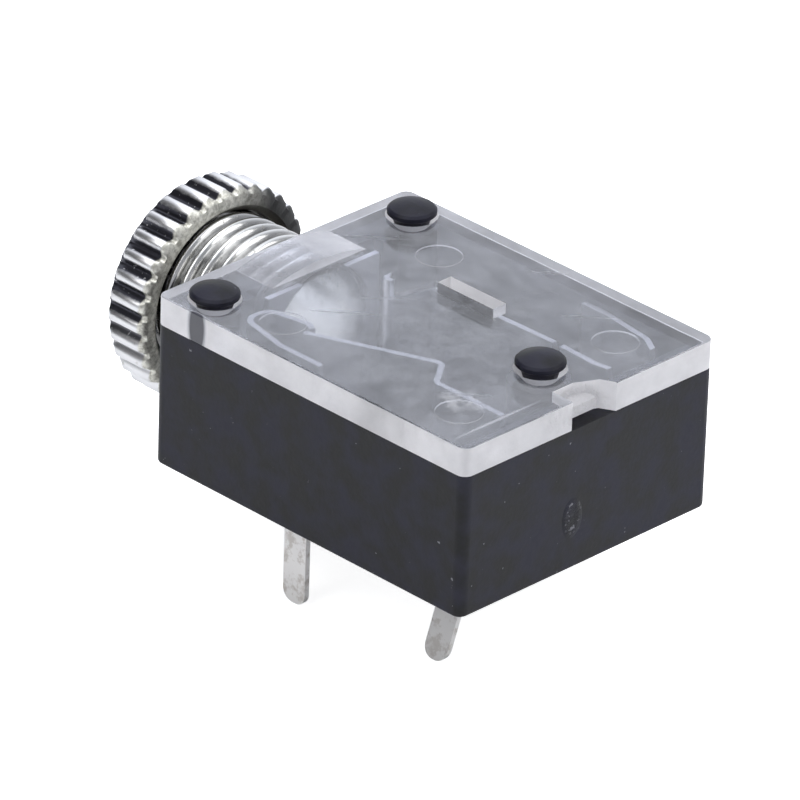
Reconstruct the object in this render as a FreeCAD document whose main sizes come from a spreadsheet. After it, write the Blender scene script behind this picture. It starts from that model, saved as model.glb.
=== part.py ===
"""Board-mounted jack socket for a 3.5 mm stereo plug, with a threaded barrel and a round nut.

Frame: millimetres, +Z up, origin in the middle of the housing's underside, which seats on the
board. The barrel's axis is parallel to X and its mouth faces -X. +Y is the ring side of the
socket and -Y the tip side.
"""
import FreeCAD, Part
import math
import os

import Sketcher

Vector = FreeCAD.Vector
Placement = FreeCAD.Placement

# Distance under which two points count as level or in line
TOUCH = 1e-6

os.makedirs("parts", exist_ok=True)
doc = FreeCAD.newDocument("jack_socket")


# Driving sizes

SIZES = {
    # Housing: an open-topped box
    "body_length": 14.0,
    "body_width": 11.3,
    "body_height": 5.05,
    "floor_thickness": 0.9,
    "side_wall": 0.5,
    "rear_wall": 0.8,
    "front_wall": 1.7,
    "corner_radius": 0.35,
    "edge_radius": 0.12,
    "seat_block_wall": 0.4,
    "seat_block_height": 0.8,
    "sill_width": 0.45,
    # Posts that carry the cover and are staked over it
    "post_radius": 0.5,
    "head_radius": 0.83,
    "head_height": 0.44,
    "head_rim": 0.28,
    "head_ease": 0.08,
    "head_cone": 0.6,
    "throat_radius": 0.67,
    "front_head_lift": 0.02,
    "front_post_inset": 1.45,
    "front_post_side": 1.2,
    "rear_post_inset": 2.3,
    "rear_head_lift": 0.08,
    "front_boss_radius": 0.85,
    "rear_boss_radius": 1.05,
    # Clear cover
    "cover_thickness": 1.03,
    "cover_gap": 0.02,
    "post_clearance": 0.05,
    "post_hole_taper": 18.0,
    "mark_radius": 0.78,
    "mark_depth": 0.05,
    "mark_spread": 7.06,
    "front_mark_at": 3.65,
    "rear_mark_inset": 2.39,
    "cover_edge_radius": 0.06,
    "notch_left": 0.88,
    "notch_right": 1.12,
    "notch_depth": 0.9,
    "notch_corner": 0.03,
    "notch_shoulder": 0.84,
    "notch_shoulder_depth": 0.5,
    "gate_left": 0.7,
    "gate_right": 0.45,
    "gate_overlap": 0.4,
    "gate_reach": 0.66,
    "gate_lift": 0.26,
    "gate_height": 0.38,
    "slot_at": 5.4,
    "slot_length": 2.5,
    "slot_offset": 1.7,
    "slot_width": 0.6,
    # Threaded barrel
    "axis_height": 3.05,
    "barrel_radius": 2.88,
    "barrel_reach": 4.6,
    "barrel_chamfer": 0.25,
    "thread_pitch": 0.55,
    "thread_depth": 0.27,
    "seat_clearance": 0.02,
    "neck_radius": 1.95,
    "plug_radius": 1.8,
    "mouth_chamfer": 0.35,
    "flange_inset": 2.75,
    "flange_thickness": 0.45,
    # Round nut
    "nut_radius": 3.85,
    "nut_thickness": 1.75,
    "nut_standoff": 2.6,
    "nut_clearance": 0.05,
    "nut_chamfer": 0.25,
    "flute_count": 32,
    "flute_width": 0.48,
    "flute_depth": 0.25,
    # Contact strips and their solder pins
    "strip_thickness": 0.2,
    "strip_gap": 0.15,
    "strip_foot": 0.3,
    "strip_bend": 0.3,
    "pin_width": 1.0,
    "pin_reach": 3.4,
    "pin_round": 0.42,
    "pin_slot_gap": 0.06,
    "pin_root": 0.3,
    "contact_gap": 0.16,
    # Places of the contacts: at is from the housing's front face, inset from its rear face,
    # offset out from the axis and side in from the cavity's side wall
    "tip_crease_at": 8.72,
    "tip_crease_offset": 1.37,
    "tip_root_at": 9.5,
    "tip_root_offset": 2.43,
    "tip_pin_inset": 2.95,
    "tip_pin_lean": 1.2,
    "tip_end_inset": 1.55,
    "tip_free_at": 4.3,
    "tip_free_offset": 3.21,
    "tip_switch_end_at": 6.3,
    "tip_switch_pin_at": 5.45,
    "tip_switch_side": 0.75,
    "tip_switch_bend_at": 2.42,
    "tip_switch_drift": 0.42,
    "tip_switch_arm_offset": 2.65,
    "tip_switch_hook": 0.35,
    "switch_bend_radius": 0.5,
    "switch_bend_width": 1.0,
    "ring_crease_at": 3.4,
    "ring_crease_offset": 1.31,
    "ring_arm_at": 4.73,
    "ring_arm_offset": 2.15,
    "ring_free_at": 10.1,
    "ring_free_offset": 2.32,
    "ring_root_at": 2.7,
    "ring_root_offset": 2.4,
    "ring_pin_offset": 3.55,
    "ring_root_end_offset": 4.3,
    "ring_switch_end_inset": 5.2,
    "ring_switch_pin_inset": 4.65,
    "ring_switch_knee_inset": 2.1,
    "ring_switch_side": 0.17,
    "ring_switch_lean": 0.28,
    "ring_switch_bend_inset": 1.15,
    "ring_switch_drift": 0.86,
    "ring_switch_bend_width": 1.72,
    "ring_switch_arm_offset": 2.25,
    "ring_switch_hook": 1.8,
    "ring_switch_gap": 0.3,
    "ring_switch_dip": 1.5,
    "ring_switch_dip_inset": 1.5,
    "ring_root_dip": 1.4,
    "ring_arm_dip": 0.7,
    "ring_dip_lead": 0.2,
    "earth_plate_width": 5.0,
    "earth_hole_radius": 2.1,
}

sheet = doc.addObject("Spreadsheet::Sheet", "Sizes")
for row, (alias, value) in enumerate(SIZES.items(), 1):
    sheet.set(f"A{row}", alias)
    sheet.set(f"B{row}", str(value))
    sheet.setAlias(f"B{row}", alias)
doc.recompute()

# Places that several pieces share, written once as expressions over the sheet

FRONT = "(-Sizes.body_length / 2)"
REAR = "(Sizes.body_length / 2)"
CAVITY_FRONT = f"({FRONT} + Sizes.front_wall)"
CAVITY_REAR = f"({REAR} - Sizes.rear_wall)"
CAVITY_SIDE = "(Sizes.body_width / 2 - Sizes.side_wall)"
COVER_BOTTOM = "(Sizes.body_height + Sizes.cover_gap)"
COVER_TOP = f"({COVER_BOTTOM} + Sizes.cover_thickness)"
STRIP_BOTTOM = "(Sizes.floor_thickness + Sizes.strip_foot)"
STRIP_TOP = "(Sizes.body_height - Sizes.strip_gap)"
FLANGE_REAR = f"({CAVITY_FRONT} + Sizes.seat_clearance)"
FLANGE_FRONT = f"({FLANGE_REAR} - Sizes.flange_thickness)"
POCKET_FRONT = f"({FLANGE_FRONT} - Sizes.seat_clearance)"
FLANGE_SIDE = "(Sizes.body_width / 2 - Sizes.flange_inset)"
PLATE_FRONT = f"({FLANGE_REAR} + Sizes.seat_clearance)"
PLATE_REAR = f"({PLATE_FRONT} + Sizes.strip_thickness)"
FRONT_POST_X = f"({FRONT} + Sizes.front_post_inset)"
FRONT_POST_Y = "(Sizes.body_width / 2 - Sizes.front_post_side)"
REAR_POST_X = f"({REAR} - Sizes.rear_post_inset)"


def along(distance):
    """Turn a distance behind the housing's front face into an X expression."""
    return f"({FRONT} + Sizes.{distance})"


def inset(distance):
    """Turn a distance ahead of the housing's rear face into an X expression."""
    return f"({REAR} - Sizes.{distance})"


TIP_SWITCH_Y = f"(-({CAVITY_SIDE} - Sizes.tip_switch_side))"
RING_SWITCH_Y = f"({CAVITY_SIDE} - Sizes.ring_switch_side)"


# Shared steps

def number(expression):
    """Work out an expression over the sheet."""
    return float(sheet.evalExpression(expression))


def body(name):
    """Start a sub-part, labelled with its node's name."""
    piece = doc.addObject("PartDesign::Body", name)
    piece.Label = name
    piece.Placement = Placement()
    return piece


def origin_feature(piece, role):
    """Find one of a body's own origin planes or axes."""
    return next(item for item in piece.Origin.OriginFeatures if item.Role == role)


def sketch_on(piece, name, role, height="0", right="0", up="0"):
    """Attach a sketch to an origin plane, moved out of it by height and in it by right and up."""
    sketch = piece.newObject("Sketcher::SketchObject", name)
    sketch.AttachmentSupport = [(origin_feature(piece, role), "")]
    sketch.MapMode = "FlatFace"
    sketch.setExpression("AttachmentOffset.Base.x", right)
    sketch.setExpression("AttachmentOffset.Base.y", up)
    sketch.setExpression("AttachmentOffset.Base.z", height)
    return sketch


def hold(sketch, kind, geometry, point, expression):
    """Tie one point's distance from the sketch's origin to an expression."""
    rule = Sketcher.Constraint(kind, -1, 1, geometry, point, number(expression))
    index = sketch.addConstraint(rule)
    label = f"{kind}_{geometry}_{point}"
    sketch.renameConstraint(index, label)
    sketch.setExpression(f"Constraints.{label}", expression)


def polygon(sketch, corners):
    """Draw a closed outline whose corners are pairs of expressions."""
    points = [Vector(number(x), number(y), 0) for x, y in corners]
    first = sketch.GeometryCount
    for start, end in zip(points, points[1:] + points[:1]):
        sketch.addGeometry(Part.LineSegment(start, end), False)
    for step, (x, y) in enumerate(corners):
        following = first + (step + 1) % len(corners)
        sketch.addConstraint(Sketcher.Constraint("Coincident", first + step, 2, following, 1))
        hold(sketch, "DistanceX", first + step, 1, x)
        hold(sketch, "DistanceY", first + step, 1, y)


def rectangle(sketch, left, bottom, right, top):
    """Draw a rectangle between two corners given as expressions."""
    polygon(sketch, [(left, bottom), (right, bottom), (right, top), (left, top)])


def circle(sketch, x, y, radius):
    """Draw a circle whose centre and radius are expressions."""
    centre = Vector(number(x), number(y), 0)
    index = sketch.addGeometry(Part.Circle(centre, Vector(0, 0, 1), number(radius)), False)
    hold(sketch, "DistanceX", index, 3, x)
    hold(sketch, "DistanceY", index, 3, y)
    rule = sketch.addConstraint(Sketcher.Constraint("Radius", index, number(radius)))
    sketch.renameConstraint(rule, f"radius_{index}")
    sketch.setExpression(f"Constraints.radius_{index}", radius)


def pad(piece, sketch, name, length, reverse=False):
    """Add a sketch's area, by default along the sketch's normal."""
    feature = piece.newObject("PartDesign::Pad", name)
    feature.Profile = sketch
    feature.setExpression("Length", length)
    feature.Reversed = reverse
    doc.recompute()
    return feature


def pocket(piece, sketch, name, length, reverse=False):
    """Cut a sketch's area, by default against the sketch's normal, and see that it cuts."""
    before = piece.Shape.Volume
    feature = piece.newObject("PartDesign::Pocket", name)
    feature.Profile = sketch
    feature.setExpression("Length", length)
    feature.Reversed = reverse
    doc.recompute()
    if not piece.Shape.Volume < before:
        raise ValueError(f"{name} cuts nothing")
    return feature


def revolve(piece, sketch, name, axis):
    """Turn a sketch's area once round one of the sketch's own axes."""
    feature = piece.newObject("PartDesign::Revolution", name)
    feature.Profile = sketch
    feature.ReferenceAxis = (sketch, [axis])
    feature.Angle = 360
    doc.recompute()
    return feature


def mirror(piece, features, name):
    """Repeat features on the other side of the plane through the barrel's axis."""
    feature = piece.newObject("PartDesign::Mirrored", name)
    feature.Originals = features
    feature.MirrorPlane = (origin_feature(piece, "XZ_Plane"), [""])
    piece.Tip = feature
    doc.recompute()
    return feature


def edges(piece, chosen):
    """Name the edges of a body's shape whose pair of ends satisfies a test."""
    names = []
    for index, edge in enumerate(piece.Shape.Edges, 1):
        ends = [vertex.Point for vertex in edge.Vertexes]
        if len(ends) == 2 and chosen(*ends):
            names.append(f"Edge{index}")
    return names


def fillet(piece, name, radius, names):
    """Round the named edges of a body's last feature."""
    base = piece.Tip
    feature = piece.newObject("PartDesign::Fillet", name)
    feature.Base = (base, names)
    feature.setExpression("Radius", radius)
    piece.Tip = feature
    doc.recompute()
    return feature


def upright_edges(piece):
    """Name the edges of a body that run along Z."""
    return edges(piece, lambda a, b: (a - b).cross(Vector(0, 0, 1)).Length < TOUCH)


def level_edges(piece, height):
    """Name the edges of a body that lie at one height."""
    return edges(piece, lambda a, b: max(abs(a.z - height), abs(b.z - height)) < TOUCH)


def add_posts(piece, stage, x, y, lift):
    """Add one staked post: a stud through the cover and a domed head over it."""
    sketch = sketch_on(piece, f"{stage}_profile", "XZ_Plane", height=f"-{y}", right=x)
    stud = number("Sizes.post_radius")
    head = number("Sizes.head_radius")
    ease = number("Sizes.head_ease")
    brim = head - ease
    seat = number("Sizes.body_height - Sizes.floor_thickness / 2")
    under = number(f"{COVER_TOP} + {lift}")
    cone = number("Sizes.head_cone")
    rim = under + number("Sizes.head_rim")
    crown = under + number("Sizes.head_height")
    rise = crown - rim
    dome = (brim ** 2 + rise ** 2) / (2 * rise)
    shoulder = brim / 2
    slope = crown - dome + math.sqrt(dome ** 2 - shoulder ** 2)
    outline = [
        Vector(0, seat, 0),
        Vector(stud, seat, 0),
        Vector(stud, under - cone, 0),
        Vector(number("Sizes.throat_radius"), under, 0),
        Vector(brim, under, 0),
        Vector(head, under + ease, 0),
        Vector(head, rim - ease, 0),
        Vector(brim, rim, 0),
    ]
    for start, end in zip(outline, outline[1:]):
        sketch.addGeometry(Part.LineSegment(start, end), False)
    top = Vector(0, crown, 0)
    sketch.addGeometry(Part.Arc(outline[-1], Vector(shoulder, slope, 0), top), False)
    sketch.addGeometry(Part.LineSegment(top, outline[0]), False)
    return revolve(piece, sketch, stage, "V_Axis")


# Housing: one moulding with the posts

def pin_slot(sketch, x, y, wide_x, wide_y):
    """Draw the hole that one solder pin passes through."""
    gap = "Sizes.pin_slot_gap"
    rectangle(
        sketch,
        f"{x} - {wide_x} / 2 - {gap}", f"{y} - {wide_y} / 2 - {gap}",
        f"{x} + {wide_x} / 2 + {gap}", f"{y} + {wide_y} / 2 + {gap}",
    )


def make_housing():
    piece = body("housing")
    outline = sketch_on(piece, "housing_outline", "XY_Plane")
    rectangle(outline, FRONT, "-Sizes.body_width / 2", REAR, "Sizes.body_width / 2")
    pad(piece, outline, "housing_block", "Sizes.body_height")
    fillet(piece, "housing_corners", "Sizes.corner_radius", upright_edges(piece))
    fillet(piece, "housing_foot", "Sizes.edge_radius", level_edges(piece, 0))

    cavity = sketch_on(piece, "cavity_outline", "XY_Plane", height="Sizes.body_height")
    rectangle(cavity, CAVITY_FRONT, f"-{CAVITY_SIDE}", CAVITY_REAR, CAVITY_SIDE)
    pocket(piece, cavity, "cavity", "Sizes.body_height - Sizes.floor_thickness")

    seat = sketch_on(piece, "barrel_seat_outline", "YZ_Plane", height=CAVITY_FRONT)
    circle(seat, "0", "Sizes.axis_height", "Sizes.barrel_radius + Sizes.seat_clearance")
    pocket(piece, seat, "barrel_seat", "Sizes.front_wall")
    recess = sketch_on(piece, "flange_recess_outline", "XY_Plane", height="Sizes.body_height")
    reach = f"({FLANGE_SIDE} + Sizes.seat_clearance)"
    rectangle(recess, POCKET_FRONT, f"-{reach}", f"{CAVITY_FRONT} + Sizes.seat_clearance", reach)
    pocket(piece, recess, "flange_recess", "Sizes.body_height - Sizes.floor_thickness")

    rise = "Sizes.body_height - Sizes.floor_thickness"
    boss = sketch_on(piece, "front_boss_outline", "XY_Plane", height="Sizes.floor_thickness")
    circle(boss, FRONT_POST_X, FRONT_POST_Y, "Sizes.front_boss_radius")
    front_boss = pad(piece, boss, "front_boss", rise)
    front_post = add_posts(piece, "front_post", FRONT_POST_X, FRONT_POST_Y,
                           "Sizes.front_head_lift")
    mirror(piece, [front_boss, front_post], "other_front_post")

    column = sketch_on(piece, "rear_boss_outline", "XY_Plane", height="Sizes.floor_thickness")
    circle(column, REAR_POST_X, "0", "Sizes.rear_boss_radius")
    pad(piece, column, "rear_boss", rise)
    add_posts(piece, "rear_post", REAR_POST_X, "0", "Sizes.rear_head_lift")

    seats = sketch_on(piece, "seat_block_outline", "XY_Plane", height="Sizes.floor_thickness")
    wall = "Sizes.seat_block_wall"
    half = f"(Sizes.strip_thickness / 2 + {wall})"
    tip_line = "-Sizes.tip_root_offset"
    rectangle(
        seats, f"{along('tip_root_at')} + {wall}", f"{tip_line} - {half}",
        f"{inset('tip_end_inset')} + {wall}", f"{tip_line} + {half}",
    )
    ring_line = along("ring_root_at")
    rectangle(
        seats, f"{ring_line} - {half}", f"Sizes.ring_root_offset + {wall}",
        f"{ring_line} + {half}", f"Sizes.ring_root_end_offset + {wall}",
    )
    pad(piece, seats, "seat_blocks", "Sizes.seat_block_height")

    slots = sketch_on(piece, "seat_slot_outline", "XY_Plane",
                      height="Sizes.floor_thickness + Sizes.seat_block_height")
    groove = "(Sizes.strip_thickness / 2 + Sizes.pin_slot_gap)"
    rectangle(
        slots, along("tip_root_at"), f"{tip_line} - {groove}",
        f"{inset('tip_end_inset')} + Sizes.pin_slot_gap", f"{tip_line} + {groove}",
    )
    rectangle(
        slots, f"{ring_line} - {groove}", "Sizes.ring_root_offset",
        f"{ring_line} + {groove}", "Sizes.ring_root_end_offset + Sizes.pin_slot_gap",
    )
    pocket(piece, slots, "seat_slots", "Sizes.seat_block_height")

    sill = sketch_on(piece, "sill_outline", "XY_Plane", height="Sizes.floor_thickness")
    rectangle(
        sill, f"{PLATE_REAR} + Sizes.pin_slot_gap", "-Sizes.plug_radius",
        f"{PLATE_REAR} + Sizes.sill_width", "Sizes.plug_radius",
    )
    pad(piece, sill, "plate_sill", "Sizes.strip_foot - Sizes.pin_slot_gap")

    holes = sketch_on(piece, "pin_slot_outline", "XY_Plane", height="Sizes.floor_thickness")
    wide = "Sizes.pin_width"
    thin = "Sizes.strip_thickness"
    pin_slot(holes, inset("tip_pin_inset"), tip_line, wide, thin)
    pin_slot(holes, along("tip_switch_pin_at"), TIP_SWITCH_Y, wide, thin)
    pin_slot(holes, inset("ring_switch_pin_inset"), RING_SWITCH_Y, wide, thin)
    pin_slot(holes, ring_line, "Sizes.ring_pin_offset", thin, wide)
    pin_slot(holes, f"({PLATE_FRONT} + {PLATE_REAR}) / 2", "0", thin, wide)
    pocket(piece, holes, "pin_slots", "Sizes.floor_thickness")
    return piece


# Cover: one clear moulding, seen through

def make_cover():
    piece = body("cover")
    plate = sketch_on(piece, "cover_outline", "XY_Plane", height=COVER_BOTTOM)
    rectangle(plate, FRONT, "-Sizes.body_width / 2", REAR, "Sizes.body_width / 2")
    pad(piece, plate, "cover_plate", "Sizes.cover_thickness")
    fillet(piece, "cover_corners", "Sizes.corner_radius", upright_edges(piece))
    rim = level_edges(piece, number(COVER_TOP))
    fillet(piece, "cover_rim", "Sizes.cover_edge_radius", rim)

    notch = sketch_on(piece, "gate_notch_outline", "XY_Plane", height=COVER_TOP)
    back = f"{REAR} - Sizes.notch_depth"
    outside = f"{REAR} + Sizes.notch_depth"
    polygon(notch, [
        (outside, "-Sizes.notch_left"),
        (back, "-Sizes.notch_left"),
        (back, "Sizes.notch_corner"),
        (f"{REAR} - Sizes.notch_shoulder_depth", "Sizes.notch_shoulder"),
        (REAR, "Sizes.notch_right"),
        (outside, "Sizes.notch_right"),
    ])
    pocket(piece, notch, "gate_notch", "Sizes.cover_thickness")
    gate = sketch_on(piece, "gate_stub_outline", "XY_Plane",
                     height=f"{COVER_BOTTOM} + Sizes.gate_lift")
    rectangle(
        gate, f"{back} - Sizes.gate_overlap", "-Sizes.gate_left",
        f"{back} + Sizes.gate_reach", "Sizes.gate_right",
    )
    pad(piece, gate, "gate_stub", "Sizes.gate_height")

    marks = sketch_on(piece, "mark_outline", "XY_Plane", height=COVER_BOTTOM)
    for x in (along("front_mark_at"), inset("rear_mark_inset")):
        for y in ("Sizes.mark_spread / 2", "-Sizes.mark_spread / 2"):
            circle(marks, x, y, "Sizes.mark_radius")
    pocket(piece, marks, "ejector_marks", "Sizes.mark_depth", reverse=True)

    arch = sketch_on(piece, "arch_outline", "YZ_Plane", height=CAVITY_FRONT)
    circle(arch, "0", "Sizes.axis_height", "Sizes.barrel_radius + Sizes.seat_clearance")
    pocket(piece, arch, "barrel_arch", "Sizes.front_wall")

    holes = sketch_on(piece, "post_hole_outline", "XY_Plane", height=COVER_BOTTOM)
    hole = "Sizes.post_radius + Sizes.post_clearance"
    circle(holes, FRONT_POST_X, FRONT_POST_Y, hole)
    circle(holes, FRONT_POST_X, f"-{FRONT_POST_Y}", hole)
    circle(holes, REAR_POST_X, "0", hole)
    flared = pocket(piece, holes, "post_holes", "Sizes.cover_thickness", reverse=True)
    flared.setExpression("TaperAngle", "Sizes.post_hole_taper")
    doc.recompute()

    slot = sketch_on(piece, "slot_outline", "XY_Plane", height=COVER_TOP)
    rectangle(slot, along("slot_at"), "Sizes.slot_offset",
              f"{along('slot_at')} + Sizes.slot_length", "Sizes.slot_offset + Sizes.slot_width")
    pocket(piece, slot, "slot", "Sizes.cover_thickness")
    return piece


# Barrel: turned, its thread as plain rings, with a flat-sided flange in the housing's front wall

def make_barrel():
    piece = body("barrel")
    tip = f"({FRONT} - Sizes.barrel_reach)"
    crest = f"({tip} + Sizes.barrel_chamfer)"
    turns = int(number(f"({POCKET_FRONT} - {crest}) / Sizes.thread_pitch"))
    thread = []
    for turn in range(turns, 0, -1):
        thread.append((f"{crest} + {turn} * Sizes.thread_pitch", "Sizes.barrel_radius"))
        thread.append((f"{crest} + ({turn} - 1 / 2) * Sizes.thread_pitch",
                       "Sizes.barrel_radius - Sizes.thread_depth"))
    profile = sketch_on(piece, "barrel_profile", "XZ_Plane", up="Sizes.axis_height")
    polygon(profile, [
        (tip, "Sizes.plug_radius + Sizes.mouth_chamfer"),
        (f"{tip} + Sizes.mouth_chamfer", "Sizes.plug_radius"),
        (FLANGE_REAR, "Sizes.plug_radius"),
        (FLANGE_REAR, "Sizes.neck_radius"),
        (FLANGE_FRONT, "Sizes.neck_radius"),
        (POCKET_FRONT, "Sizes.barrel_radius"),
        *thread,
        (crest, "Sizes.barrel_radius"),
        (tip, "Sizes.barrel_radius - Sizes.barrel_chamfer"),
    ])
    revolve(piece, profile, "barrel_turning", "H_Axis")
    flange = sketch_on(piece, "flange_outline", "YZ_Plane", height=FLANGE_FRONT)
    rectangle(
        flange, f"-{FLANGE_SIDE}", "Sizes.floor_thickness + Sizes.seat_clearance",
        FLANGE_SIDE, "Sizes.body_height - Sizes.seat_clearance",
    )
    circle(flange, "0", "Sizes.axis_height", "Sizes.plug_radius")
    pad(piece, flange, "barrel_flange", "Sizes.flange_thickness")
    return piece


# Nut: turned, with straight flutes all round

def make_nut():
    piece = body("nut")
    rear = f"({FRONT} - Sizes.nut_standoff)"
    front = f"({rear} - Sizes.nut_thickness)"
    bore = "(Sizes.barrel_radius + Sizes.nut_clearance)"
    ease = "Sizes.nut_chamfer"
    profile = sketch_on(piece, "nut_profile", "XZ_Plane", up="Sizes.axis_height")
    polygon(profile, [
        (front, f"{bore} + {ease}"),
        (f"{front} + {ease}", bore),
        (f"{rear} - {ease}", bore),
        (rear, f"{bore} + {ease}"),
        (rear, f"Sizes.nut_radius - {ease}"),
        (f"{rear} - {ease}", "Sizes.nut_radius"),
        (f"{front} + {ease}", "Sizes.nut_radius"),
        (front, f"Sizes.nut_radius - {ease}"),
    ])
    revolve(piece, profile, "nut_turning", "H_Axis")
    flute = sketch_on(piece, "flute_outline", "YZ_Plane", height=rear)
    rim = "Sizes.axis_height + Sizes.nut_radius"
    polygon(flute, [
        ("0", f"{rim} - Sizes.flute_depth"),
        ("Sizes.flute_width", f"{rim} + Sizes.flute_depth"),
        ("-Sizes.flute_width", f"{rim} + Sizes.flute_depth"),
    ])
    first = pocket(piece, flute, "first_flute", "Sizes.nut_thickness")
    pattern = piece.newObject("PartDesign::PolarPattern", "flutes")
    pattern.Originals = [first]
    pattern.Axis = (barrel_axis(piece), ["H_Axis"])
    pattern.Angle = 360
    pattern.setExpression("Occurrences", "Sizes.flute_count")
    piece.Tip = pattern
    doc.recompute()
    return piece


def barrel_axis(piece):
    """Return the sketch whose horizontal axis is the barrel's axis."""
    return next(item for item in piece.Group if item.Name == "nut_profile")


# Contact strips: each is stamped, bent on edge and carries its own solder pin

# Largest part of a straight that one bend may take up
BEND_SHARE = 0.45


def ribbon_outline(sketch, route, bend):
    """Draw a strip seen from above: a band of even width along a route with round bends."""
    half = number("Sizes.strip_thickness") / 2
    turns = []
    for before, corner, after in zip(route, route[1:], route[2:]):
        inward = (corner - before).normalize()
        outward = (after - corner).normalize()
        angle = inward.getAngle(outward)
        side = 1 if inward.cross(outward).z > 0 else -1
        leg = min((corner - before).Length, (after - corner).Length)
        radius = min(bend, BEND_SHARE * leg / math.tan(angle / 2))
        reach = radius * math.tan(angle / 2)
        normal = Vector(-inward.y, inward.x, 0) * side
        centre = corner - inward * reach + normal * radius
        turns.append((corner - inward * reach, corner + outward * reach, centre, radius, side))
    rails = []
    for hand in (1, -1):
        rail = []
        start = route[0]
        heading = (route[1] - route[0]).normalize()
        point = start + Vector(-heading.y, heading.x, 0) * half * hand
        for entry, leave, centre, radius, side in turns:
            wide = (radius - half * hand * side) / radius
            first = centre + (entry - centre) * wide
            last = centre + (leave - centre) * wide
            middle = ((first + last) / 2 - centre).normalize() * (radius * wide) + centre
            rail.append(Part.LineSegment(point, first))
            rail.append(Part.Arc(first, middle, last))
            point = last
        heading = (route[-1] - route[-2]).normalize()
        end = route[-1] + Vector(-heading.y, heading.x, 0) * half * hand
        rail.append(Part.LineSegment(point, end))
        rails.append(rail)
    for rail in rails:
        for item in rail:
            sketch.addGeometry(item, False)
    for left, right in ((rails[0][0].StartPoint, rails[1][0].StartPoint),
                        (rails[0][-1].EndPoint, rails[1][-1].EndPoint)):
        sketch.addGeometry(Part.LineSegment(left, right), False)


def make_strip(name, route, bend="Sizes.strip_bend"):
    """Stand a strip on edge along a route of expression pairs."""
    piece = body(name)
    plan = sketch_on(piece, f"{name}_plan", "XY_Plane", height=STRIP_BOTTOM)
    points = [Vector(number(x), number(y), 0) for x, y in route]
    ribbon_outline(plan, points, number(bend))
    pad(piece, plan, f"{name}_band", f"{STRIP_TOP} - {STRIP_BOTTOM}")
    return piece


def round_tip(piece, name):
    """Round the two lower corners of a solder pin."""
    low = number("-Sizes.pin_reach")
    longest = number("Sizes.strip_thickness + Sizes.pin_slot_gap")
    corners = edges(piece, lambda a, b: max(a.z, b.z) < low + TOUCH and (a - b).Length < longest)
    fillet(piece, f"{name}_tip", "Sizes.pin_round", corners)


def add_pin_along_x(piece, name, x, y, lean="0"):
    """Add a pin whose broad face looks along Y, leaning along Y below the board face."""
    side = sketch_on(piece, f"{name}_side", "YZ_Plane", height=f"{x} - Sizes.pin_width / 2")
    half = "Sizes.strip_thickness / 2"
    top = f"{STRIP_BOTTOM} + Sizes.pin_root"
    polygon(side, [
        (f"{y} - {half}", top),
        (f"{y} - {half}", "0"),
        (f"{y} - {half} + {lean}", "-Sizes.pin_reach"),
        (f"{y} + {half} + {lean}", "-Sizes.pin_reach"),
        (f"{y} + {half}", "0"),
        (f"{y} + {half}", top),
    ])
    pad(piece, side, name, "Sizes.pin_width")
    round_tip(piece, name)


def make_tip_contact():
    piece = make_strip("tip_contact", [
        (inset("tip_end_inset"), "-Sizes.tip_root_offset"),
        (along("tip_root_at"), "-Sizes.tip_root_offset"),
        (along("tip_crease_at"), "-Sizes.tip_crease_offset"),
        (along("tip_free_at"), "-Sizes.tip_free_offset"),
    ])
    add_pin_along_x(piece, "tip_pin", inset("tip_pin_inset"), "-Sizes.tip_root_offset",
                    "(-Sizes.tip_pin_lean)")
    return piece


def make_tip_switch():
    line = TIP_SWITCH_Y
    bend_x = along("tip_switch_bend_at")
    piece = make_strip("tip_switch", [
        (along("tip_switch_end_at"), line),
        (f"{along('tip_switch_pin_at')} - Sizes.pin_width", line),
        (bend_x, f"{line} + Sizes.tip_switch_drift"),
        (bend_x, f"{line} + Sizes.tip_switch_drift + Sizes.switch_bend_width"),
        (f"{along('tip_free_at')} - Sizes.tip_switch_hook", "-Sizes.tip_switch_arm_offset"),
        (along("tip_free_at"), "-Sizes.tip_free_offset + Sizes.strip_thickness"
         " + Sizes.contact_gap"),
    ], "Sizes.switch_bend_radius")
    add_pin_along_x(piece, "tip_switch_pin", along("tip_switch_pin_at"), line)
    return piece


def make_ring_contact():
    piece = make_strip("ring_contact", [
        (along("ring_root_at"), "Sizes.ring_root_end_offset"),
        (along("ring_root_at"), "Sizes.ring_root_offset"),
        (along("ring_crease_at"), "Sizes.ring_crease_offset"),
        (along("ring_arm_at"), "Sizes.ring_arm_offset"),
        (along("ring_free_at"), "Sizes.ring_free_offset"),
    ])
    side = sketch_on(piece, "ring_pin_side", "XZ_Plane",
                     height="-(Sizes.ring_pin_offset + Sizes.pin_width / 2)")
    x = along("ring_root_at")
    half = "Sizes.strip_thickness / 2"
    rectangle(side, f"{x} - {half}", "-Sizes.pin_reach",
              f"{x} + {half}", f"{STRIP_BOTTOM} + Sizes.pin_root")
    pad(piece, side, "ring_pin", "Sizes.pin_width")
    round_tip(piece, "ring_pin")
    dips = sketch_on(piece, "ring_dip_outline", "XZ_Plane", height=f"-{CAVITY_SIDE}")
    before = f"{along('ring_crease_at')} - Sizes.ring_dip_lead"
    after = f"{along('ring_crease_at')} + Sizes.ring_dip_lead"
    rectangle(dips, FRONT, f"{STRIP_TOP} - Sizes.ring_root_dip", before, "Sizes.body_height")
    polygon(dips, [
        (after, f"{STRIP_TOP} - Sizes.ring_arm_dip"),
        (f"{along('ring_arm_at')} + Sizes.ring_dip_lead", STRIP_TOP),
        (after, STRIP_TOP),
    ])
    pocket(piece, dips, "ring_dips", CAVITY_SIDE, reverse=True)
    return piece


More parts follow.
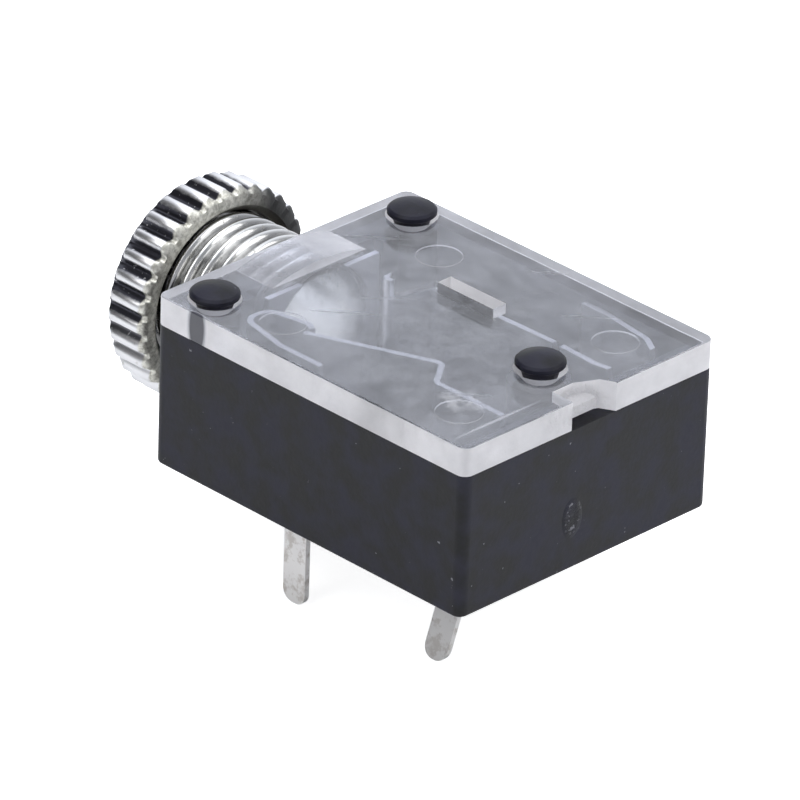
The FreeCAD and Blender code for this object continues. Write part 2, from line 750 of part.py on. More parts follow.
def make_ring_switch():
    line = RING_SWITCH_Y
    bend_x = inset("ring_switch_bend_inset")
    piece = make_strip("ring_switch", [
        (inset("ring_switch_end_inset"), line),
        (f"{inset('ring_switch_pin_inset')} + Sizes.pin_width / 2", line),
        (inset("ring_switch_knee_inset"), f"{line} - Sizes.ring_switch_lean"),
        (bend_x, f"{line} - Sizes.ring_switch_drift"),
        (bend_x, f"{line} - Sizes.ring_switch_drift - Sizes.ring_switch_bend_width"),
        (f"{along('ring_free_at')} + Sizes.ring_switch_hook", "Sizes.ring_switch_arm_offset"),
        (f"{along('ring_free_at')} + Sizes.ring_switch_gap", "Sizes.ring_free_offset"),
    ], "Sizes.switch_bend_radius")
    add_pin_along_x(piece, "ring_switch_pin", inset("ring_switch_pin_inset"), line)
    dip = sketch_on(piece, "ring_switch_dip_outline", "XY_Plane", height=STRIP_TOP)
    rectangle(dip, inset("ring_switch_dip_inset"), "0", REAR, CAVITY_SIDE)
    pocket(piece, dip, "ring_switch_bend_dip", "Sizes.ring_switch_dip")
    return piece


# Earth plate: stands behind the barrel's flange, round the plug's way in

def make_earth_plate():
    piece = body("earth_plate")
    face = sketch_on(piece, "plate_outline", "YZ_Plane", height=PLATE_FRONT)
    bottom = "Sizes.floor_thickness + Sizes.seat_clearance"
    rectangle(face, "-Sizes.earth_plate_width / 2", bottom,
              "Sizes.earth_plate_width / 2", STRIP_TOP)
    pad(piece, face, "plate", "Sizes.strip_thickness")
    way = sketch_on(piece, "plug_way_outline", "YZ_Plane", height=PLATE_REAR)
    circle(way, "0", "Sizes.axis_height", "Sizes.earth_hole_radius")
    pocket(piece, way, "plug_way", "Sizes.strip_thickness")
    pin = sketch_on(piece, "earth_pin_outline", "YZ_Plane", height=PLATE_FRONT)
    rectangle(pin, "-Sizes.pin_width / 2", "-Sizes.pin_reach",
              "Sizes.pin_width / 2", f"{bottom} + Sizes.pin_root")
    pad(piece, pin, "earth_pin", "Sizes.strip_thickness")
    round_tip(piece, "earth_pin")
    return piece


# Build, check and write

pieces = [
    make_housing(),
    make_cover(),
    make_barrel(),
    make_nut(),
    make_earth_plate(),
    make_tip_contact(),
    make_tip_switch(),
    make_ring_contact(),
    make_ring_switch(),
]
doc.recompute()

for item in doc.Objects:
    if "Invalid" in item.State or "Error" in item.State:
        raise ValueError(f"{item.Name} failed: {item.State}")
for piece in pieces:
    if piece.Shape.isNull() or not piece.Shape.isValid():
        raise ValueError(f"{piece.Label} has no valid shape")
    if len(piece.Shape.Solids) != 1:
        raise ValueError(f"{piece.Label} is not one solid")
for piece in pieces:
    piece.Shape.exportStep(f"parts/{piece.Label}.step")
    box = piece.Shape.BoundBox
    print(f"{piece.Label}: {piece.Shape.Volume:.3f} mm3, x {box.XMin:.2f} to {box.XMax:.2f}, "
          f"y {box.YMin:.2f} to {box.YMax:.2f}, z {box.ZMin:.2f} to {box.ZMax:.2f}")
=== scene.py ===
"""Looks for the jack socket: materials, the barrel's thread, the knurled nut, lights and camera."""
import math

import bmesh
import bpy
from mathutils import Matrix, Vector


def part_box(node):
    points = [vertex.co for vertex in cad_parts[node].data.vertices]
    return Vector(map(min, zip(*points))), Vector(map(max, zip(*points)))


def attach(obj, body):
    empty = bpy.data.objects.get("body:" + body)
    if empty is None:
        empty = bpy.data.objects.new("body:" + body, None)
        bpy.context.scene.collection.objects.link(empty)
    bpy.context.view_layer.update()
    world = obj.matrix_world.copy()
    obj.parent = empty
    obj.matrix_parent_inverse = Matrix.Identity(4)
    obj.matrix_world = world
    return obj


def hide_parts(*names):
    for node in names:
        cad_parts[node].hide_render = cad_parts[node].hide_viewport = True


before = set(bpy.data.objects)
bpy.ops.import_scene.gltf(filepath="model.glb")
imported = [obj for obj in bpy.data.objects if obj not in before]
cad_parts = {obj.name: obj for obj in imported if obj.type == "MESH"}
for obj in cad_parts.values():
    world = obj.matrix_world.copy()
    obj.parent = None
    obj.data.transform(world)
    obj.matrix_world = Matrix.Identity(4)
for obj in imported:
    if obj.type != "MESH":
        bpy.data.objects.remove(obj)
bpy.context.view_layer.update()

MM = 0.001

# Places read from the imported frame
BARREL_LOW, BARREL_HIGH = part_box("barrel")
NUT_LOW, NUT_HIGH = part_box("nut")
FOOT = min(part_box(node)[0][2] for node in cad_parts)

# The barrel's axis is as high as the nut's middle
AXIS_HEIGHT = (NUT_LOW[2] + NUT_HIGH[2]) / 2

# Barrel and its thread
THREAD_CREST = 2.87 * MM
THREAD_DEPTH = 0.3 * MM
THREAD_PITCH = 0.55 * MM
RINGS_PER_PITCH = 14
ROUND_STEPS = 96
BORE = 1.8 * MM
NECK = 1.95 * MM
MOUTH_CHAMFER = 0.35 * MM
BARREL_CHAMFER = 0.3 * MM
FLANGE = 0.45 * MM
FLANGE_GAP = 0.02 * MM
FLANGE_FOOT = 0.92 * MM
FLANGE_TOP = 5.03 * MM
# Reach of the flange's eased corners, in half heights
FLANGE_CORNER = 1.28

# Fluted nut
FLUTES = 32
FLUTE_DEPTH = 0.27 * MM
NUT_BORE = 2.93 * MM
NUT_CHAMFER = 0.28 * MM
NUT_BORE_CHAMFER = 0.25 * MM
STEPS_PER_FLUTE = 16

# Both the thread's and the flutes' waves are raised to this power, which widens their crests
CREST_POWER = 1.5

# Faces that meet at less than these angles are shaded as one
SMOOTH_ANGLE = math.radians(30)
NUT_SMOOTH_ANGLE = math.radians(40)
WELD_DISTANCE = 1e-8


# Shared steps

def new_object(name, mesh):
    """Link a mesh to the scene as a piece."""
    piece = bpy.data.objects.new(name, mesh)
    bpy.context.scene.collection.objects.link(piece)
    return piece


def mesh_from(name, points, faces, smooth_angle=SMOOTH_ANGLE):
    """Make a mesh whose faces are smooth except across edges sharper than an angle."""
    mesh = bpy.data.meshes.new(name)
    mesh.from_pydata([tuple(point) for point in points], [], faces)
    mesh.validate()
    form = bmesh.new()
    form.from_mesh(mesh)
    bmesh.ops.remove_doubles(form, verts=form.verts, dist=WELD_DISTANCE)
    bmesh.ops.recalc_face_normals(form, faces=form.faces)
    for face in form.faces:
        face.smooth = True
    for edge in form.edges:
        if len(edge.link_faces) == 2 and edge.calc_face_angle(0) > smooth_angle:
            edge.smooth = False
    form.to_mesh(mesh)
    form.free()
    return mesh


def ring_round(x, angles, radius):
    """Make a ring round the barrel's axis, its radius a function of the angle."""
    return [
        Vector((x, radius(angle) * math.cos(angle), AXIS_HEIGHT + radius(angle) * math.sin(angle)))
        for angle in angles
    ]


def ring_surface(rings):
    """Join rings of as many points each into quads, and the last ring to the first."""
    count = len(rings[0])
    points = [point for ring in rings for point in ring]
    faces = []
    for i in range(len(rings)):
        here, there = i * count, (i + 1) % len(rings) * count
        for j in range(count):
            k = (j + 1) % count
            faces.append((here + j, here + k, there + k, there + j))
    return points, faces


# Materials

class Tree:
    """A node tree with short steps for building it."""

    def __init__(self, owner, source):
        owner.use_nodes = True
        self.nodes = owner.node_tree.nodes
        self.links = owner.node_tree.links
        self.where = self.add("ShaderNodeTexCoord").outputs[source]

    def add(self, kind, **values):
        """Add a node and set its properties."""
        node = self.nodes.new(kind)
        for name, value in values.items():
            setattr(node, name, value)
        return node

    def wire(self, value, socket):
        """Give a socket a number or link another socket to it."""
        if isinstance(value, (int, float)):
            socket.default_value = value
        else:
            self.links.new(value, socket)

    def noise(self, scale, detail=3.0, roughness=0.5, stretch=1.0, turn=0.0):
        """Add noise of so many features per metre, drawn out along one level direction."""
        mapping = self.add("ShaderNodeMapping", vector_type="TEXTURE")
        mapping.inputs["Rotation"].default_value = (0, 0, turn)
        mapping.inputs["Scale"].default_value = (stretch, 1, 1)
        node = self.add("ShaderNodeTexNoise")
        node.inputs["Scale"].default_value = scale
        node.inputs["Detail"].default_value = detail
        node.inputs["Roughness"].default_value = roughness
        self.links.new(self.where, mapping.inputs["Vector"])
        self.links.new(mapping.outputs["Vector"], node.inputs["Vector"])
        return node.outputs["Fac"]

    def band(self, value, low, high, start=0.0, end=1.0):
        """Map a stretch of one value to another, clamped."""
        node = self.add("ShaderNodeMapRange", clamp=True)
        node.inputs["From Min"].default_value = low
        node.inputs["From Max"].default_value = high
        node.inputs["To Min"].default_value = start
        node.inputs["To Max"].default_value = end
        self.links.new(value, node.inputs["Value"])
        return node.outputs["Result"]

    def maths(self, operation, first, second=0.0):
        """Combine two values, each a socket or a number."""
        node = self.add("ShaderNodeMath", operation=operation)
        self.wire(first, node.inputs[0])
        self.wire(second, node.inputs[1])
        return node.outputs["Value"]

    def towards(self, direction):
        """Measure the place along a direction."""
        node = self.add("ShaderNodeVectorMath", operation="DOT_PRODUCT")
        node.inputs[1].default_value = direction
        self.links.new(self.where, node.inputs[0])
        return node.outputs["Value"]

    def spot(self, centre, radii, softness=0.3):
        """Mark an ellipsoid: one inside it and nought beyond a soft edge."""
        offset = self.add("ShaderNodeVectorMath", operation="SUBTRACT")
        offset.inputs[1].default_value = centre
        self.links.new(self.where, offset.inputs[0])
        scaled = self.add("ShaderNodeVectorMath", operation="DIVIDE")
        scaled.inputs[1].default_value = radii
        self.links.new(offset.outputs["Vector"], scaled.inputs[0])
        length = self.add("ShaderNodeVectorMath", operation="LENGTH")
        self.links.new(scaled.outputs["Vector"], length.inputs[0])
        return self.band(length.outputs["Value"], 1 - softness, 1, 1, 0)

    def off_axis(self):
        """Measure the distance from the barrel's axis."""
        offset = self.add("ShaderNodeVectorMath", operation="SUBTRACT")
        offset.inputs[1].default_value = (0, 0, AXIS_HEIGHT)
        self.links.new(self.where, offset.inputs[0])
        across = self.add("ShaderNodeVectorMath", operation="MULTIPLY")
        across.inputs[1].default_value = (0, 1, 1)
        self.links.new(offset.outputs["Vector"], across.inputs[0])
        length = self.add("ShaderNodeVectorMath", operation="LENGTH")
        self.links.new(across.outputs["Vector"], length.inputs[0])
        return length.outputs["Value"]

    def mixed(self, value, first, second):
        """Blend two colours by a value, each a socket or three numbers."""
        node = self.add("ShaderNodeMix", data_type="RGBA")
        for colour, name in ((first, "A"), (second, "B")):
            if isinstance(colour, tuple):
                node.inputs[name].default_value = (*colour, 1)
            else:
                self.links.new(colour, node.inputs[name])
        self.links.new(value, node.inputs["Factor"])
        return node.outputs["Result"]


class Surface(Tree):
    """A node material built round one principled shader."""

    def __init__(self, name, **values):
        self.material = bpy.data.materials.new(name)
        super().__init__(self.material, "Object")
        self.shader = self.nodes["Principled BSDF"]
        for socket, value in values.items():
            self.shader.inputs[socket.replace("_", " ")].default_value = value

    def feed(self, socket, value):
        """Wire a value or colour to one of the shader's sockets."""
        self.links.new(value, self.shader.inputs[socket])

    def steepness(self):
        """Give nought on level faces and one on upright ones."""
        facing = self.add("ShaderNodeSeparateXYZ")
        normal = self.add("ShaderNodeNewGeometry").outputs["True Normal"]
        self.links.new(normal, facing.inputs["Vector"])
        return self.band(self.maths("ABSOLUTE", facing.outputs["Z"]), 0.25, 0.6, 1, 0)

    def bump(self, value, height, strength=1.0):
        """Raise the surface by a value, the height in metres."""
        node = self.add("ShaderNodeBump")
        node.inputs["Distance"].default_value = height
        self.wire(strength, node.inputs["Strength"])
        self.links.new(value, node.inputs["Height"])
        previous = self.shader.inputs["Normal"].links
        if previous:
            self.links.new(previous[0].from_socket, node.inputs["Normal"])
        self.links.new(node.outputs["Normal"], self.shader.inputs["Normal"])


# Fine noise that several materials share, in features per metre
GRAIN = 5200

# Housing: its tones, and the oval scar of the mould's gate on its rear face
BLACK_LOW = (0.002, 0.002, 0.003)
BLACK_HIGH = (0.012, 0.012, 0.024)
FLECK_TONE = (0.16, 0.16, 0.18)
SCAR_PLACE = Vector((7.0, -0.68, 1.86)) * MM
SCAR_RADII = Vector((0.5, 0.46, 0.72)) * MM

# Cover: its tones, painted shade among them, then the places where it isn't clear or where shade,
# glow or a reflection is painted
CLEAR_TONE = (0.90, 0.92, 1.0)
FROST_TONE = (0.60, 0.59, 0.61)
SHADE_TONE = (0.02, 0.02, 0.03)
# Frosted curved cut over the barrel
ARCH_RADIUS = 2.9 * MM
ARCH_REAR = -5.28 * MM
# Frosted stub of the cover's own gate
STUB_PLACE = Vector((6.45, -0.12, 5.52)) * MM
STUB_RADII = Vector((0.9, 1.3, 0.6)) * MM
# Near wall of the slot: painted shade, dark
SLOT_PLACE = Vector((-0.35, 1.70, 5.58)) * MM
SLOT_RADII = Vector((1.5, 0.06, 1.5)) * MM
# Front post seen through the side wall: painted shade, a dark band
POST_PLACE = Vector((-5.12, -5.65, 5.6)) * MM
POST_RADII = Vector((0.48, 0.15, 1.2)) * MM
# Painted reflection: a pale line beside the rear edge
PAINTED_LINE_PLACE = Vector((5.78, -3.1, 5.07)) * MM
PAINTED_LINE_RADII = Vector((0.09, 2.2, 0.12)) * MM
# Torn wall beside the gate notch
TORN_PLACE = Vector((7.0, -1.35, 5.6)) * MM
TORN_RADII = Vector((0.2, 0.8, 0.7)) * MM
# Milky smear on the top
SMEAR_PLACE = Vector((4.61, -3.53, 6.1)) * MM
SMEAR_RADII = Vector((0.85, 0.85, 0.3)) * MM

# Nut: the side on which the painted shade in its flutes is darkest, and its tones, painted shade
# among them
SHADE_SIDE = (0, -0.62, 0.78)
FLUTE_PAINTED_SHADE = (0.075, 0.075, 0.09)
RIM_PITTED = (0.42, 0.41, 0.36)
RIM_WORN = (0.80, 0.79, 0.72)
RIM_FAR_PAINTED_SHADE = (0.06, 0.06, 0.06)
GAP_PAINTED_SHADE = (0.14, 0.13, 0.11)
NUT_ROUGHNESS = 0.38
RIM_ROUGHNESS = 0.45

# Thread: the tone of the painted shade in its roots
ROOT_TONE = (0.10, 0.10, 0.10)

# Strips: inside the housing, on the pins below it, and on the edges sheared by the stamping
INNER_TONE = (0.80, 0.80, 0.83)
PIN_METALLIC = 0.2
SHEARED_TONE = (0.52, 0.52, 0.52)
TIN_ROUGHNESS = 0.28
SHEARED_ROUGHNESS = 0.45


def housing_plastic():
    """Black plastic, mottled and dusty, with a rough scar where its gate was."""
    surface = Surface("housing_black", Roughness=0.5, IOR=1.39)
    mottle = surface.noise(900, detail=5)
    dust = surface.band(surface.noise(GRAIN, detail=2), 0.76, 0.80)
    tone = surface.mixed(surface.band(mottle, 0.4, 0.62), BLACK_LOW, BLACK_HIGH)
    scar = surface.spot(SCAR_PLACE, SCAR_RADII)
    flecks = surface.maths("MULTIPLY", scar, surface.band(surface.noise(GRAIN), 0.60, 0.66))
    tone = surface.mixed(surface.maths("MAXIMUM", dust, flecks), tone, FLECK_TONE)
    surface.feed("Base Color", tone)
    surface.feed("Roughness", surface.band(mottle, 0.3, 0.7, 0.38, 0.56))
    surface.feed("Specular IOR Level", surface.band(surface.steepness(), 0, 1, 0.38, 0.5))
    surface.bump(surface.noise(6000, detail=4), 0.010 * MM, 0.6)
    surface.bump(scar, 0.05 * MM)
    surface.bump(surface.noise(3800, detail=5, roughness=0.7), 0.08 * MM, scar)
    return surface.material


def clear_plastic():
    """Clear plastic, hazy on its level faces, frosted on its walls and stub, with painted glow on
    its frosted parts, painted shade in two places and a painted reflection line beside the rear
    edge.
    """
    # The emission colour is that of the painted glow on the frosted parts
    surface = Surface("cover_clear", IOR=1.58, Emission_Color=(0.97, 0.97, 1.0, 1))
    forward = surface.towards((1, 0, 0))
    arch = surface.maths(
        "MULTIPLY",
        surface.band(surface.off_axis(), ARCH_RADIUS + 0.03 * MM, ARCH_RADIUS + 0.05 * MM, 0.45, 0),
        surface.band(forward, ARCH_REAR, ARCH_REAR + 0.02 * MM, 1, 0),
    )
    stub = surface.spot(STUB_PLACE, STUB_RADII)
    frost_and_painted_line = surface.maths("MAXIMUM", surface.steepness(), arch)
    frost_and_painted_line = surface.maths("MAXIMUM", frost_and_painted_line, stub)
    # Painted shade: the slot's near wall and the band where the front post shows through the side
    # wall are painted dark, made less clear, and given no frost or glow
    shaded = surface.maths(
        "MAXIMUM",
        surface.spot(SLOT_PLACE, SLOT_RADII, 0.1),
        surface.maths("MULTIPLY", surface.spot(POST_PLACE, POST_RADII, 0.35), 0.95),
    )
    frost_and_painted_line = surface.maths("MULTIPLY", frost_and_painted_line, surface.maths("SUBTRACT", 1.0, shaded))
    # Painted reflection: a pale line beside the rear edge, frosted and glowing, stands in for the
    # housing's rear wall edge seen in the cover
    painted_line = surface.maths("MULTIPLY", surface.spot(PAINTED_LINE_PLACE, PAINTED_LINE_RADII, 0.6), 0.7)
    frost_and_painted_line = surface.maths("MAXIMUM", frost_and_painted_line, painted_line)
    smear = surface.maths(
        "MULTIPLY",
        surface.spot(SMEAR_PLACE, SMEAR_RADII, 0.5),
        surface.band(surface.noise(2000, detail=4, roughness=0.7), 0.45, 0.62, 0, 0.4),
    )
    frost_and_painted_line = surface.maths("MAXIMUM", frost_and_painted_line, smear)
    cloud = surface.noise(320, detail=6, roughness=0.65)
    scratch = surface.band(surface.noise(2600, detail=1, stretch=16, turn=0.7), 0.73, 0.77)
    haze = surface.maths("ADD", surface.band(cloud, 0.35, 0.7, 0.05, 0.13),
                         surface.maths("MULTIPLY", scratch, 0.2))
    fine = surface.band(surface.noise(1500, detail=6, roughness=0.7), 0.45, 0.68, 0, 0.06)
    veil = surface.maths("SUBTRACT", surface.band(cloud, 0.38, 0.62, 0.99, 0.91), fine)
    tone = surface.mixed(frost_and_painted_line, CLEAR_TONE, FROST_TONE)
    surface.feed("Base Color", surface.mixed(shaded, tone, SHADE_TONE))
    clear = surface.maths("SUBTRACT", veil, surface.maths("MULTIPLY", frost_and_painted_line, 0.42))
    clear = surface.maths("SUBTRACT", clear, surface.maths("MULTIPLY", shaded, 0.95))
    surface.feed("Transmission Weight", clear)
    surface.feed("Roughness", surface.maths("ADD", haze, surface.maths("MULTIPLY", frost_and_painted_line, 0.30)))
    # Painted glow: the frosted parts give off light of their own, in patches, standing in for light
    # carried through the plate
    painted_glow = surface.maths("SUBTRACT", frost_and_painted_line, surface.maths("MULTIPLY", stub, 0.4))
    patches = surface.band(surface.noise(900, detail=5, roughness=0.6), 0.35, 0.65, 0.15, 0.25)
    surface.feed("Emission Strength", surface.maths("MULTIPLY", painted_glow, patches))
    surface.bump(surface.noise(420, detail=2), 0.03 * MM, 0.5)
    surface.bump(surface.noise(GRAIN, detail=4, roughness=0.7), 0.02 * MM, frost_and_painted_line)
    torn = surface.spot(TORN_PLACE, TORN_RADII, 0.5)
    surface.bump(surface.noise(GRAIN, detail=3), 0.09 * MM, torn)
    surface.bump(surface.noise(2600, detail=4, roughness=0.7), 0.25 * MM, stub)
    return surface.material


def bright_metal(name, tone, dirt_tone, dirt_from, grain, roughness):
    """Plated metal with patches of dull dirt: more of them the lower dirt_from is."""
    surface = Surface(name, Metallic=1.0)
    dirt = surface.band(surface.noise(2600, detail=6, roughness=0.65), dirt_from, dirt_from + 0.12)
    surface.tone = surface.mixed(dirt, tone, dirt_tone)
    surface.feed("Base Color", surface.tone)
    surface.feed("Roughness", surface.band(dirt, 0, 1, roughness, 0.5))
    surface.bump(surface.noise(grain, detail=3), 0.004 * MM, 0.6)
    return surface


def thread_nickel(name):
    """Nickel with painted shade, in patches, in its thread roots."""
    surface = bright_metal(
        name, tone=(0.72, 0.72, 0.71), dirt_tone=(0.30, 0.29, 0.26),
        dirt_from=0.58, grain=GRAIN, roughness=0.16,
    )
    root = surface.maths(
        "MULTIPLY",
        surface.band(surface.off_axis(), THREAD_CREST - THREAD_DEPTH, THREAD_CREST, 1, 0),
        surface.band(surface.off_axis(), NECK, NECK + 0.1 * MM),
    )
    # Painted shade: the thread's roots, not its bore, are painted dark in patches
    dull = surface.maths("MULTIPLY", surface.band(surface.noise(1500), 0.3, 0.6, 0.6, 1), root)
    surface.feed("Base Color", surface.mixed(dull, surface.tone, ROOT_TONE))
    return surface.material


def nut_nickel(crest, rear):
    """Nickel with painted shade in its flutes, widest on the left and fewer towards the foot, a
    pitted rim with painted shade on its far side, and painted shade on the chamfer of its bore.
    """
    surface = bright_metal(
        "nut_nickel", tone=(0.82, 0.82, 0.83), dirt_tone=(0.50, 0.49, 0.46),
        dirt_from=0.62, grain=4200, roughness=NUT_ROUGHNESS,
    )
    lean = AXIS_HEIGHT * SHADE_SIDE[2]
    # Painted shade: the flutes are painted dark, most on the side set above, standing in for their
    # dark reflections
    shade = surface.band(surface.towards(SHADE_SIDE), lean + crest * 0.2, lean + crest * 0.75)
    level = surface.maths("SUBTRACT", surface.off_axis(),
                          surface.maths("MULTIPLY", shade, 0.42 * FLUTE_DEPTH))
    ragged = surface.maths("MULTIPLY", surface.noise(GRAIN, detail=3), 0.3 * FLUTE_DEPTH)
    level = surface.maths("ADD", level, ragged)
    painted_groove = surface.band(level, crest - 0.7 * FLUTE_DEPTH, crest - 0.4 * FLUTE_DEPTH, 1, 0)
    painted_groove = surface.maths("MULTIPLY", painted_groove, surface.band(shade, 0, 0.6, 0.05, 1))
    speck = surface.band(surface.noise(6500, detail=2), 0.66, 0.72, 1, 0.3)
    dark = surface.maths("MULTIPLY", painted_groove, speck)
    tone = surface.mixed(dark, surface.tone, FLUTE_PAINTED_SHADE)
    edge = surface.band(surface.towards((1, 0, 0)), rear - 0.26 * MM, rear - 0.2 * MM)
    pits = surface.noise(6500, detail=4, roughness=0.7)
    rim_wear_and_shade = surface.mixed(surface.band(pits, 0.35, 0.6), RIM_PITTED, RIM_WORN)
    # Painted shade: the worn rim is painted darker on its far side
    far = surface.band(surface.towards((0, 1, 0)), 0.2 * MM, 2.0 * MM)
    rim_wear_and_shade = surface.mixed(far, rim_wear_and_shade, RIM_FAR_PAINTED_SHADE)
    # Painted shade on the chamfer of the bore, round the thread
    gap = surface.band(surface.off_axis(), NUT_BORE + 0.12 * MM, NUT_BORE + 0.3 * MM, 0.9, 0)
    tone = surface.mixed(edge, tone, rim_wear_and_shade)
    surface.feed("Base Color", surface.mixed(gap, tone, GAP_PAINTED_SHADE))
    surface.feed("Roughness", surface.band(edge, 0, 1, NUT_ROUGHNESS, RIM_ROUGHNESS))
    surface.bump(pits, 0.012 * MM, edge)
    return surface.material


def strip_tin():
    """Tin that is bright on the broad faces and dull on the sheared edges and the pins."""
    surface = bright_metal(
        "strip_tin", tone=(0.97, 0.95, 0.93), dirt_tone=(0.70, 0.66, 0.62),
        dirt_from=0.50, grain=GRAIN, roughness=TIN_ROUGHNESS,
    )
    sheared = surface.band(surface.steepness(), 0, 1, 1, 0)
    pins = surface.band(surface.towards((0, 0, 1)), -0.1 * MM, 0, 1, 0)
    tone = surface.mixed(pins, INNER_TONE, surface.tone)
    surface.feed("Base Color", surface.mixed(sheared, tone, SHEARED_TONE))
    surface.feed("Metallic", surface.band(pins, 0, 1, 1, PIN_METALLIC))
    surface.feed("Roughness", surface.band(sheared, 0, 1, TIN_ROUGHNESS, SHEARED_ROUGHNESS))
    return surface.material


# Barrel: the turned piece with its helical thread

def thread_radius(x, angle, tip):
    """Give the thread's radius at one place, with its lead-in at the tip."""
    turn = (x / THREAD_PITCH - angle / (2 * math.pi)) % 1
    height = 0.5 + 0.5 * math.cos(2 * math.pi * turn)
    radius = THREAD_CREST - THREAD_DEPTH * (1 - height) ** CREST_POWER
    lead = THREAD_CREST - BARREL_CHAMFER + (x - tip)
    return min(radius, lead)


def make_barrel():
    """Make the bored barrel with its helical thread and, as its own piece, its flange."""
    tip, flange_rear = BARREL_LOW[0], BARREL_HIGH[0]
    end = flange_rear - FLANGE - FLANGE_GAP
    steps = int((end - tip) / THREAD_PITCH * RINGS_PER_PITCH)
    angles = [2 * math.pi * j / ROUND_STEPS for j in range(ROUND_STEPS)]
    rings = [
        ring_round(flange_rear, angles, lambda angle: BORE),
        ring_round(tip + MOUTH_CHAMFER, angles, lambda angle: BORE),
        ring_round(tip, angles, lambda angle: BORE + MOUTH_CHAMFER),
    ]
    for i in range(steps + 1):
        x = tip + (end - tip) * i / steps
        rings.append(ring_round(x, angles, lambda angle: thread_radius(x, angle, tip)))
    rings.append(ring_round(end, angles, lambda angle: NECK))
    rings.append(ring_round(flange_rear, angles, lambda angle: NECK))
    points, faces = ring_surface(rings)
    barrel = new_object("barrel_threaded", mesh_from("barrel_threaded", points, faces))
    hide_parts("barrel")
    flange = flange_plate(
        Vector((end + FLANGE_GAP, BARREL_LOW[1], FLANGE_FOOT)),
        Vector((flange_rear, BARREL_HIGH[1], FLANGE_TOP)),
    )
    for piece in (barrel, flange):
        piece.data.materials.append(thread_nickel(f"{piece.name}_nickel"))
        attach(piece, "socket")


def flange_plate(low, high):
    """Make the barrel's square flange round its bore, with eased corners."""
    outer, inner = [], []
    half = (high - low) / 2
    middle = (low + high) / 2
    for j in range(ROUND_STEPS):
        angle = 2 * math.pi * j / ROUND_STEPS
        across, up = math.cos(angle), math.sin(angle)
        reach = min(half.y / max(abs(across), 1e-9), half.z / max(abs(up), 1e-9))
        reach = min(reach, FLANGE_CORNER * half.z)
        outer.append((middle.y + across * reach, middle.z + up * reach))
        inner.append((across * BORE, AXIS_HEIGHT + up * BORE))
    rings = [
        [Vector((x, y, z)) for y, z in loop]
        for x, loop in ((low.x, inner), (low.x, outer), (high.x, outer), (high.x, inner))
    ]
    points, faces = ring_surface(rings)
    return new_object("barrel_flange", mesh_from("barrel_flange", points, faces))


# Nut: straight flutes all round and chamfered rims

def flute_drop(angle):
    """Give how far the flank lies under the crest circle at an angle."""
    wave = 0.5 - 0.5 * math.cos(FLUTES * angle)
    return FLUTE_DEPTH * wave ** CREST_POWER


def make_nut():
    """Make the round nut, fluted along its flank and chamfered at its rims and bore."""
    crest = (NUT_HIGH[2] - NUT_LOW[2]) / 2
    front, rear = NUT_LOW[0], NUT_HIGH[0]
    count = FLUTES * STEPS_PER_FLUTE
    angles = [2 * math.pi * j / count for j in range(count)]
    profile = [
        (front + NUT_BORE_CHAMFER, NUT_BORE),
        (front, NUT_BORE + NUT_BORE_CHAMFER),
        (front, crest - NUT_CHAMFER),
        (front + NUT_CHAMFER * 0.35, crest - NUT_CHAMFER * 0.5),
        (front + NUT_CHAMFER, crest),
        (rear - NUT_CHAMFER, crest),
        (rear - NUT_CHAMFER * 0.35, crest - NUT_CHAMFER * 0.5),
        (rear, crest - NUT_CHAMFER),
        (rear, NUT_BORE + NUT_BORE_CHAMFER),
        (rear - NUT_BORE_CHAMFER, NUT_BORE),
    ]
    rings = [
        ring_round(x, angles, lambda angle: min(radius, crest - flute_drop(angle)))
        for x, radius in profile
    ]
    points, faces = ring_surface(rings)
    nut = new_object("nut_knurled", mesh_from("nut_knurled", points, faces, NUT_SMOOTH_ANGLE))
    nut.data.materials.append(nut_nickel(crest, rear))
    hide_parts("nut")
    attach(nut, "nut")


# Carried-over nodes

def dress(node, material):
    """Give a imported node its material."""
    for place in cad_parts[node].material_slots:
        place.material = material


def dress_nodes():
    """Give the housing, the cover, the strips and the earth plate their materials."""
    dress("housing", housing_plastic())
    dress("cover", clear_plastic())
    tin = strip_tin()
    for node in ("tip_contact", "tip_switch", "ring_contact", "ring_switch"):
        dress(node, tin)
    plate = bright_metal(
        "plate_tin", tone=(0.80, 0.80, 0.83), dirt_tone=(0.45, 0.44, 0.42),
        dirt_from=0.64, grain=GRAIN, roughness=0.55,
    )
    dress("earth_plate", plate.material)


# Studio

# Camera place, heading and tilt, and its lens for a square frame
CAMERA_AT = Vector((175.37, -180.97, 138.02)) * MM
HEADING = math.radians(44.336)
DESCENT = math.radians(28.182)
ROLL = math.radians(1.969)
SENSOR = 36.0
FOCAL_LENGTH = 400.4
CLIP_NEAR = 0.01
CLIP_FAR = 10

FLOOR_HALF = 1.5
FLOOR_DROP = 0.02 * MM
# Light added to the floor for the camera only, so that it stays white round the shadow
FLOOR_GLOW = 0.85


def make_camera():
    """Place the camera at the photo's view."""
    data = bpy.data.cameras.new("camera")
    data.sensor_fit = "HORIZONTAL"
    data.sensor_width = SENSOR
    data.lens = FOCAL_LENGTH
    data.clip_start = CLIP_NEAR
    data.clip_end = CLIP_FAR
    camera = bpy.data.objects.new("camera", data)
    bpy.context.scene.collection.objects.link(camera)
    gaze = Vector((
        -math.sin(HEADING) * math.cos(DESCENT),
        math.cos(HEADING) * math.cos(DESCENT),
        -math.sin(DESCENT),
    ))
    level = gaze.to_track_quat("-Z", "Y").to_matrix()
    camera.matrix_world = (
        Matrix.Translation(CAMERA_AT) @ (level @ Matrix.Rotation(ROLL, 3, "Z")).to_4x4()
    )
    bpy.context.scene.camera = camera


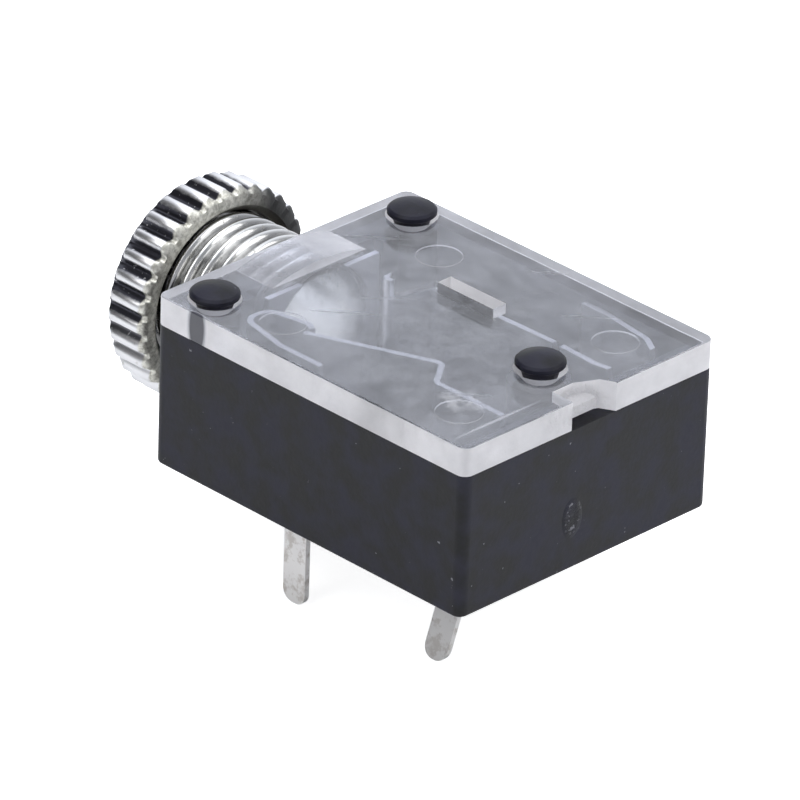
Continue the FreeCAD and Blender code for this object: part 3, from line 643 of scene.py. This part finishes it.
def make_floor():
    """Lay a matt white floor under the pins, brighter to the camera than it is lit."""
    height = FOOT - FLOOR_DROP
    corners = [(-1, -1), (1, -1), (1, 1), (-1, 1)]
    points = [Vector((x * FLOOR_HALF, y * FLOOR_HALF, height)) for x, y in corners]
    floor = new_object("floor", mesh_from("floor", points, [(0, 1, 2, 3)]))
    surface = Surface(
        "floor_white", Roughness=0.9, Base_Color=(0.9, 0.9, 0.9, 1),
        Specular_IOR_Level=0.0, Emission_Color=(1, 1, 1, 1),
    )
    seen = surface.add("ShaderNodeLightPath").outputs["Is Camera Ray"]
    surface.feed("Emission Strength", surface.maths("MULTIPLY", seen, FLOOR_GLOW))
    floor.data.materials.append(surface.material)


def make_world():
    """Surround the part with soft light: bright beyond it and above, dark beside the nut."""
    world = bpy.data.worlds.new("studio")
    bpy.context.scene.world = world
    tree = Tree(world, "Generated")
    beyond = tree.band(tree.towards((-0.61, 0.63, 0.48)), 0.3, 0.95, 0, 0.75)
    above = tree.band(tree.towards((0, 0, 1)), 0.75, 0.95, 0, 0.8)
    beside = tree.band(tree.towards((-0.72, -0.62, 0.30)), 0.55, 0.85, 1, 0.06)
    level = tree.maths("ADD", tree.maths("ADD", beyond, above), 0.45)
    background = tree.nodes["Background"]
    background.inputs["Color"].default_value = (0.90, 0.93, 1.0, 1)
    tree.links.new(tree.maths("MULTIPLY", level, beside), background.inputs["Strength"])


def softbox(name, at, width, height, radiance):
    """Hang an area light of even brightness, turned towards the part's origin."""
    data = bpy.data.lights.new(name, "AREA")
    data.shape = "RECTANGLE"
    data.size = width
    data.size_y = height
    data.energy = radiance * math.pi * width * height
    light = bpy.data.objects.new(name, data)
    bpy.context.scene.collection.objects.link(light)
    gaze = Vector((0, 0, 0)) - Vector(at)
    light.matrix_world = Matrix.Translation(at) @ gaze.to_track_quat("-Z", "Y").to_matrix().to_4x4()


def make_lights():
    """Hang a light at either side of the part and one overhead."""
    softbox("softbox_left", at=(-0.04, -0.34, 0.36), width=0.30, height=0.26, radiance=2.6)
    softbox("softbox_right", at=(0.36, 0.24, 0.30), width=0.30, height=0.30, radiance=2.2)
    softbox("softbox_top", at=(-0.05, 0.0, 0.50), width=0.35, height=0.35, radiance=2.0)


make_camera()
make_floor()
make_world()
make_lights()
make_barrel()
make_nut()
dress_nodes()

bpy.context.scene.view_settings.view_transform = "Standard"
